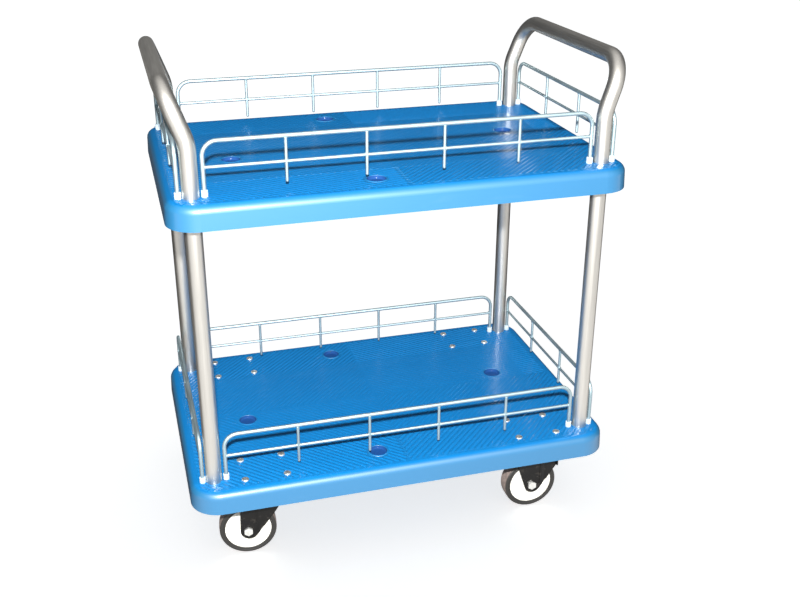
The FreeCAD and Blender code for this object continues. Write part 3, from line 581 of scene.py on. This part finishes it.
def ruled_quarter(tree, given):
    """Points in long lines at 45 degrees over one quarter of the field, trimmed to it."""
    root_two = math.sqrt(2)
    apart = math_node(tree, "MULTIPLY", given["Pitch"], root_two)
    span = math_node(tree, "ADD", given["Half Length"], given["Half Width"])
    lines = math_node(tree, "CEIL", math_node(tree, "DIVIDE", span, apart), 0.0)
    points = math_node(tree, "CEIL", math_node(tree, "DIVIDE", math_node(
        tree, "MULTIPLY", span, root_two), given["Step"]), 0.0)
    short = given["Crest"]
    start = add(tree, "ShaderNodeCombineXYZ", {0: math_node(tree, "SUBTRACT", apart, short), 1: short})
    along_x = add(tree, "ShaderNodeCombineXYZ", {0: apart})
    stride = math_node(tree, "DIVIDE", given["Step"], root_two)
    diagonal = add(tree, "ShaderNodeCombineXYZ", {0: math_node(tree, "MULTIPLY", stride, -1.0), 1: stride})
    starts = add(tree, "GeometryNodeMeshLine", {"Count": lines, "Start Location": start.outputs[0],
                                                "Offset": along_x.outputs[0]})
    line = add(tree, "GeometryNodeMeshLine", {"Count": points, "Offset": diagonal.outputs[0]})
    ruled = add(tree, "GeometryNodeInstanceOnPoints", {"Points": starts.outputs[0],
                                                       "Instance": line.outputs[0]})
    quarter = add(tree, "GeometryNodeRealizeInstances", {0: ruled.outputs[0]})
    here = add(tree, "ShaderNodeSeparateXYZ", {0: add(tree, "GeometryNodeInputPosition").outputs[0]})
    outside = math_node(tree, "MAXIMUM", math_node(tree, "GREATER_THAN", here.outputs[0],
                                                   given["Half Length"]),
                        math_node(tree, "GREATER_THAN", here.outputs[1], given["Half Width"]))
    behind = math_node(tree, "LESS_THAN", here.outputs[0], math_node(tree, "MULTIPLY", short, NEARLY))
    trimmed = add(tree, "GeometryNodeDeleteGeometry", {
        0: quarter.outputs[0], 1: math_node(tree, "MAXIMUM", outside, behind)}, domain="POINT")
    return trimmed.outputs[0]


print("ridges", round(RIDGE_PITCH / MM), "mm apart,", round(RIDGE_RISE / MM, 2), "mm high")

# %% [markdown]
# ## The whole field, with room in it
# The other three quarters are the first one mirrored. Then room is made: every point asks
# which of the given loose points is nearest and how far that one's `reach` goes, and is
# deleted if it lies within. That is cheaper than cutting finished ridges, and leaves clean ends.

# %% The field, cleared
def whole_field(tree, quarter):
    """A quarter and its three mirror images."""
    field = add(tree, "GeometryNodeJoinGeometry")
    for across in (1, -1):
        for up in (1, -1):
            turned = add(tree, "GeometryNodeTransform", {0: quarter, "Scale": (across, up, 1)})
            tree.links.new(turned.outputs[0], field.inputs[0])
    return field.outputs[0]


def cleared(tree, given, field):
    """The field without the points that lie within reach of a given point."""
    where = add(tree, "GeometryNodeInputPosition").outputs[0]
    nearest = add(tree, "GeometryNodeSampleNearest", {"Geometry": given["Geometry"], 1: where},
                  domain="POINT")
    reach = add(tree, "GeometryNodeInputNamedAttribute", {"Name": "reach"}, data_type="FLOAT")
    keep_off = add(tree, "GeometryNodeSampleIndex", {
        "Geometry": given["Geometry"], 1: reach.outputs[0], "Index": nearest.outputs[0]},
        data_type="FLOAT", domain="POINT")
    centre = add(tree, "GeometryNodeSampleIndex", {
        "Geometry": given["Geometry"], 1: where, "Index": nearest.outputs[0]},
        data_type="FLOAT_VECTOR", domain="POINT")
    gap = add(tree, "ShaderNodeVectorMath", {0: where, 1: centre.outputs[0]}, operation="DISTANCE")
    near = math_node(tree, "LESS_THAN", gap.outputs["Value"], keep_off.outputs[0])
    return add(tree, "GeometryNodeDeleteGeometry", {0: field, 1: near}, domain="POINT").outputs[0]


print("field helpers ready")

# %% [markdown]
# ## A section on every line
# What is left of each line becomes a curve with two ends, and a flat-topped section is swept
# along it. The section is drawn with its crest down, because a sweep turns a section's Y axis
# downwards. Its faces stay flat: smooth shading would bend light round edges this shallow.

# %% The ridge tree
def swept(tree, given, field):
    """A ridge along every line of points that is long enough."""
    strokes = add(tree, "GeometryNodeMeshToCurve", {0: field})
    length = add(tree, "GeometryNodeSplineLength").outputs[0]
    long_ones = add(tree, "GeometryNodeDeleteGeometry", {
        0: strokes.outputs[0], 1: math_node(tree, "LESS_THAN", length, given["Shortest"])}, domain="CURVE")
    straight = add(tree, "GeometryNodeResampleCurve", {"Curve": long_ones.outputs[0], "Count": 2})
    level = add(tree, "GeometryNodeSetCurveNormal", {"Curve": straight.outputs[0]}, mode="Z_UP")
    height = math_node(tree, "ADD", given["Rise"], given["Root"])
    section = add(tree, "GeometryNodeCurvePrimitiveQuadrilateral", {
        "Bottom Width": given["Crest"], "Top Width": given["Width"],
        "Height": height, "Offset": 0.0}, mode="TRAPEZOID")
    centred = math_node(tree, "MULTIPLY", math_node(tree, "SUBTRACT", given["Root"], given["Rise"]), 0.5)
    lifted = add(tree, "GeometryNodeTransform", {
        0: section.outputs[0], "Translation": add(tree, "ShaderNodeCombineXYZ", {1: centred}).outputs[0]})
    ridges = add(tree, "GeometryNodeCurveToMesh", {"Curve": level.outputs[0],
                                                   "Profile Curve": lifted.outputs[0], "Fill Caps": True})
    return add(tree, "GeometryNodeSetShadeSmooth", {"Geometry": ridges.outputs[0],
                                                    "Shade Smooth": False}).outputs[0]


def ridge_tree():
    """Concentric diamonds of ridges on a flat field, with room round the points it is given."""
    sizes = ("Half Length", "Half Width", "Pitch", "Width", "Crest", "Rise", "Root", "Step", "Shortest")
    tree, given = new_tree("anti_slip_ridges", **{size: "Float" for size in sizes}, Finish="Material")
    field = cleared(tree, given, whole_field(tree, ruled_quarter(tree, given)))
    close_tree(tree, swept(tree, given, field))
    return tree


RIDGES = ridge_tree()
print("ridge tree:", len(RIDGES.nodes), "nodes")

# %% [markdown]
# ## Where the ridges keep away
# The dimples, bolt heads, posts and legs are all parts of the frame. The places of the bolt
# heads, posts and legs are read from it, and the four dimples are listed. A group such as the
# sixteen bolts is one node: `islands` finds the separate lumps in it by walking along shared
# corners and gives the middle of each in plan.

# %% Room round what stands in the deck
FIELD_MARGIN = 22 * MM
ROOM = 2.5 * MM
LEG_ROOM = 8 * MM
LEG_RADIUS = 16 * MM


def islands(name):
    """The box of each separate lump in a node, as pairs of corners."""
    mesh = bmesh.new()
    mesh.from_mesh(NODES[name].data)
    bmesh.ops.remove_doubles(mesh, verts=mesh.verts, dist=1e-6)
    left = set(mesh.verts)
    boxes = []
    while left:
        lump, edge = set(), [left.pop()]
        while edge:
            vert = edge.pop()
            lump.add(vert)
            for link in vert.link_edges:
                other = link.other_vert(vert)
                if other in left:
                    left.remove(other)
                    edge.append(other)
        low, high = (Vector([pick(v.co[i] for v in lump) for i in range(3)]) for pick in (min, max))
        boxes.append((low, high))
    mesh.free()
    return boxes


def round_places(name, extra):
    """Plan places and reach of the round lumps of a node."""
    return [((low.x + high.x) / 2, (low.y + high.y) / 2, (high.x - low.x) / 2 + extra)
            for low, high in islands(name)]


def hoop_places(extra):
    """Plan places and reach of the four hoop legs."""
    places = []
    for name in ("left_hoop", "right_hoop"):
        low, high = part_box(name)
        x = low.x + LEG_RADIUS if low.x > 0 else high.x - LEG_RADIUS
        places += [(x, y, LEG_RADIUS + extra) for y in (low.y + LEG_RADIUS, high.y - LEG_RADIUS)]
    return places


DIMPLE_REACH = 25 * MM
DIMPLES = [(-0.300, -0.030, DIMPLE_REACH), (0.300, 0.030, DIMPLE_REACH),
           (-0.053, -0.228, DIMPLE_REACH), (-0.053, 0.228, DIMPLE_REACH)]
print(len(DIMPLES), "dimples and", len(hoop_places(LEG_ROOM)), "legs to keep off on each deck")

# %% [markdown]
# ## Ridges on both decks
# The moulds of the two decks are alike, so one function makes both. The lower deck also has
# the heads of the caster bolts to keep off.

# %% Ridges on both decks
def ridged(level):
    """The ridges of one deck, in place."""
    low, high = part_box(DECKS[level])
    keep_off = DIMPLES + hoop_places(LEG_ROOM) + round_places(level + "_rail_collars", ROOM)
    if level == "lower":
        keep_off = keep_off + round_places("caster_bolts", ROOM)
    piece = plain_object(level + "_deck_ridges", [(x, y, 0) for x, y, r in keep_off],
                         reach=[r for x, y, r in keep_off])
    grow(piece, RIDGES, **{
        "Half Length": high.x - FIELD_MARGIN, "Half Width": high.y - FIELD_MARGIN,
        "Pitch": RIDGE_PITCH, "Width": RIDGE_WIDTH, "Crest": RIDGE_CREST, "Rise": RIDGE_RISE,
        "Root": RIDGE_ROOT, "Step": RIDGE_STEP, "Shortest": SHORTEST_RIDGE, "Finish": FINISHES["deck"]})
    piece.data.transform(Matrix.Translation((0, 0, high.z)))
    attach(piece, "frame")
    return piece


ridges = [ridged(level) for level in DECKS]
print("ridges:", count_faces(*ridges), "faces")

# %% [markdown]
# ## Weld beads on the rails
# Each drop wire is welded under the top rod and where it crosses the middle wire, and the
# middle wire is welded to the posts. A bead is a small uneven ring. One tree puts a ring on
# every joint, turns it at random from a fixed seed, and roughens the whole with noise, so no
# two beads are alike and none needs to be modelled by hand.

# %% A tree for the weld beads
BEAD_RADIUS = 3.1 * MM
BEAD_THICKNESS = 1.0 * MM
BEAD_SEED = 7


def bead_tree():
    """An uneven ring round the wire at every point, square to the point's axis."""
    tree, given = new_tree("weld_beads", **{"Radius": "Float", "Thickness": "Float", "Seed": "Int",
                                            "Finish": "Material"})
    circle = add(tree, "GeometryNodeCurvePrimitiveCircle", {"Resolution": 18, "Radius": given["Radius"]})
    section = add(tree, "GeometryNodeCurvePrimitiveCircle", {"Resolution": 8,
                                                             "Radius": given["Thickness"]})
    bead = add(tree, "GeometryNodeCurveToMesh", {"Curve": circle.outputs[0],
                                                 "Profile Curve": section.outputs[0]})
    axis = add(tree, "GeometryNodeInputNamedAttribute", {"Name": "axis"}, data_type="FLOAT_VECTOR")
    upright = add(tree, "FunctionNodeAlignRotationToVector", {"Vector": axis.outputs[0]}, axis="Z")
    angle = add(tree, "FunctionNodeRandomValue", {"Max": (0.0, 0.0, math.tau), "Seed": given["Seed"]},
                data_type="FLOAT_VECTOR")
    spun = add(tree, "FunctionNodeRotateRotation", {0: upright.outputs[0], 1: angle.outputs[0]},
               rotation_space="LOCAL")
    size = add(tree, "FunctionNodeRandomValue", {2: 0.92, 3: 1.1, "Seed": given["Seed"]},
               data_type="FLOAT")
    rings = add(tree, "GeometryNodeInstanceOnPoints", {
        "Points": given["Geometry"], "Instance": bead.outputs[0], "Rotation": spun.outputs[0],
        "Scale": size.outputs[1]})
    real = add(tree, "GeometryNodeRealizeInstances", {0: rings.outputs[0]})
    lumps = add(tree, "ShaderNodeTexNoise", {"Scale": 1 / (2.2 * MM), "Detail": 2.0})
    centred = math_node(tree, "SUBTRACT", lumps.outputs[0], 0.5)
    push = math_node(tree, "MULTIPLY", centred, math_node(tree, "MULTIPLY", given["Thickness"], 1.4))
    normal = add(tree, "GeometryNodeInputNormal").outputs[0]
    shift = add(tree, "ShaderNodeVectorMath", {0: normal, "Scale": push}, operation="SCALE")
    uneven = add(tree, "GeometryNodeSetPosition", {"Geometry": real.outputs[0],
                                                   "Offset": shift.outputs[0]})
    smooth = add(tree, "GeometryNodeSetShadeSmooth", {"Geometry": uneven.outputs[0]})
    close_tree(tree, smooth.outputs[0])
    return tree


BEADS = bead_tree()
print("bead tree:", len(BEADS.nodes), "nodes")

# %% [markdown]
# ## The joints of each rail
# A rail lies in one upright plane. Its box gives the plane, its ends and its top, and the
# wires stand at equal spaces, so the joints follow from the box and the number of bays.

# %% Beads on the rails
ROD_RADIUS = 4 * MM
WIRE_RADIUS = 3 * MM
RAIL_MIDDLE = 53.5 * MM
RAIL_TOP = 101 * MM
BAYS = {"front": 5, "back": 5, "left": 3, "right": 3}


def rail_joints(name, bays):
    """The middle and the wire direction of every weld on a rail."""
    low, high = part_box(name)
    along = Vector((1, 0, 0)) if high.x - low.x > high.y - low.y else Vector((0, 1, 0))
    middle = (low + high) / 2
    length = (high - low).dot(along) - 2 * ROD_RADIUS
    top = high.z - ROD_RADIUS
    start = Vector((middle.x, middle.y, 0)) - along * length / 2
    mid_wire = Vector((0, 0, top - RAIL_TOP + RAIL_MIDDLE))
    joints = [(start + mid_wire + along * ROD_RADIUS, along),
              (start + mid_wire + along * (length - ROD_RADIUS), along)]
    for bay in range(1, bays):
        place = start + along * length * bay / bays
        joints.append((place + Vector((0, 0, top - ROD_RADIUS)), Vector((0, 0, 1))))
        joints.append((place + mid_wire + along * WIRE_RADIUS, along))
        joints.append((place + mid_wire - along * WIRE_RADIUS, along))
    return joints


def beads_on(level):
    """All the weld beads of one deck's rails, as one piece."""
    joints = [joint for side, bays in BAYS.items() for joint in rail_joints(f"{level}_{side}_rail", bays)]
    piece = plain_object(level + "_rail_welds", [place for place, axis in joints])
    layer = piece.data.attributes.new("axis", "FLOAT_VECTOR", "POINT")
    layer.data.foreach_set("vector", [value for place, axis in joints for value in axis])
    grow(piece, BEADS, Radius=BEAD_RADIUS, Thickness=BEAD_THICKNESS, Seed=BEAD_SEED, Finish=FINISHES["wire"])
    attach(piece, "frame")
    return len(joints), piece


for level in DECKS:
    number, piece = beads_on(level)
    print(piece.name, number, "welds,", count_faces(piece), "faces")

# %% [markdown]
# ## Turned pieces
# Tyres and the linings of the dimples are round, so each is a section turned about an axis.
# `turned_mesh` places a ring of points for each point of the section and joins them with
# faces. Each section point also has a value, kept on the mesh as an attribute, so that a
# finish can follow the shape: a paler grey on a tread, painted shade in a recess.

# %% A turned mesh
SHARP_FROM = 40


def turned_mesh(name, section, steps, label, closed):
    """Turns (radius, height, value) points about Z; value is stored under label."""
    verts, values, faces = [], [], []
    for step in range(steps):
        angle = math.tau * (step + 0.5) / steps
        for radius, height, value in section:
            verts.append((radius * math.cos(angle), radius * math.sin(angle), height))
            values.append(value)
    count = len(section)
    for step in range(steps):
        here, there = step * count, (step + 1) % steps * count
        for ring in range(count if closed else count - 1):
            on = (ring + 1) % count
            faces.append((here + ring, there + ring, there + on, here + on))
    if not closed:
        faces.append(tuple(step * count + count - 1 for step in range(steps)))
    mesh = bpy.data.meshes.new(name)
    mesh.from_pydata(verts, [], faces)
    mesh.attributes.new(label, "FLOAT", "POINT").data.foreach_set("value", values)
    mesh.shade_smooth()
    mesh.set_sharp_from_angle(angle=math.radians(SHARP_FROM))
    return mesh


print("edges sharper than", SHARP_FROM, "degrees stay sharp")

# %% [markdown]
# ## Dimples
# Each dimple in the decks has a low rounded lip, and a duller lining that is painted darker, as
# painted shade in the recess. Both come from one section. A small tree sets a copy on each of the
# four places in a deck, which are points, and makes the copies real.

# %% Lips and linings of the dimples
DIMPLE_STEPS = 64
# Each point: radius and height in mm, and how far it belongs to the lining, which the deck finish paints
# darker as painted shade.
LINING = [(22.6, -0.9, 0.0), (22.0, 0.15, 0.0), (21.2, 0.5, 0.0), (20.3, 0.62, 0.0), (19.4, 0.5, 0.0),
          (18.9, 0.1, 0.2), (18.7, -0.6, 1.0), (18.4, -5.2, 1.0), (17.4, -6.4, 1.0), (15.8, -6.9, 1.0),
          (8.0, -7.0, 1.0), (1.0, -7.0, 1.0)]


def copies_tree():
    """A copy of an object on every point."""
    tree, given = new_tree("copies_on_points", Piece="Object", Finish="Material")
    source = add(tree, "GeometryNodeObjectInfo", {"Object": given["Piece"]})
    copies = add(tree, "GeometryNodeInstanceOnPoints", {"Points": given["Geometry"],
                                                        "Instance": source.outputs["Geometry"]})
    close_tree(tree, copies.outputs[0])
    return tree


COPIES = copies_tree()
section = [(radius * MM, height * MM, value) for radius, height, value in LINING]
lining = bpy.data.objects.new("lining", turned_mesh("lining", section, DIMPLE_STEPS, "recess", False))
scene.collection.objects.link(lining)
for level in DECKS:
    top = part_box(DECKS[level])[1].z
    piece = plain_object(level + "_deck_dimples", [(x, y, top) for x, y, reach in DIMPLES])
    grow(piece, COPIES, Piece=lining, Finish=FINISHES["deck"])
    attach(piece, "frame")
    print(piece.name, count_faces(piece), "faces")
bpy.data.objects.remove(lining)

# %% [markdown]
# ## Tyres
# A tyre has flat dark sides with a shallow moulded groove, round shoulders and a nearly flat
# tread with the fine line where the two mould halves met.

# %% Turned tyres
TYRE_STEPS = 144
TYRE_WIDTH = 32 * MM
TYRE_SHOULDER = 4.5 * MM
RESTING_TURN = {"front_left": -5.0}


def tyre_section(inner, outer, half):
    """(radius, place across, tread) round the section of a tyre, from its inner edge."""
    side = [(inner, 0.97 * half, 0.0), (inner + 0.8 * MM, half, 0.0), (inner + 3.4 * MM, half, 0.0),
            (inner + 3.9 * MM, half - 0.5 * MM, 0.0), (inner + 4.6 * MM, half - 0.5 * MM, 0.0),
            (inner + 5.1 * MM, half - 0.1 * MM, 0.0)]
    for step in range(7):
        angle = math.radians(90 * step / 6)
        side.append((outer - 0.35 * MM - TYRE_SHOULDER * (1 - math.sin(angle)),
                     half - TYRE_SHOULDER * (1 - math.cos(angle)), max(0.0, step / 3 - 1.0)))
    side += [(outer - 0.2 * MM, 0.3 * half, 1.0), (outer - 0.12 * MM, 0.5 * MM, 1.0)]
    mirrored = [(radius, -across, pale_share) for radius, across, pale_share in reversed(side)]
    return side + [(outer, 0.0, 1.0)] + mirrored


def turned_tyre(corner):
    """A tyre in place of its plain frame node."""
    node = "tyre_" + corner
    low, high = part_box(node)
    hub_low, hub_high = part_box("hub_" + corner)
    section = tyre_section((hub_high.z - hub_low.z) / 2, (high.z - low.z) / 2, TYRE_WIDTH / 2)
    mesh = turned_mesh("rubber_" + node, section[::-1], TYRE_STEPS, "tread", True)
    lie = Matrix.Rotation(math.radians(90), 4, "X")
    turn = Matrix.Rotation(math.radians(RESTING_TURN.get(corner, 0.0)), 4, "Z")
    mesh.transform(Matrix.Translation((low + high) / 2) @ turn @ lie)
    mesh.materials.append(FINISHES["tyre"])
    piece = bpy.data.objects.new("rubber_" + node, mesh)
    scene.collection.objects.link(piece)
    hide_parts(node)
    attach(piece, "wheel_" + corner)
    return piece


tyres = [turned_tyre(corner) for corner in CORNERS]
print("tyres:", count_faces(*tyres), "faces")

# %% [markdown]
# ## Which way the faces point
# A mesh made by hand can come out inside out, which spoils its shading and its export. The
# signed volume shows it at once: it is positive when the faces point outwards.

# %% Signed volume
def volume(mesh):
    """The signed volume inside a mesh, to see that its faces point outwards."""
    shape = bmesh.new()
    shape.from_mesh(mesh)
    inside = shape.calc_volume(signed=True)
    shape.free()
    return inside


print("signed volume of a tyre, cm3:", round(volume(tyres[0].data) * 1e6, 1))
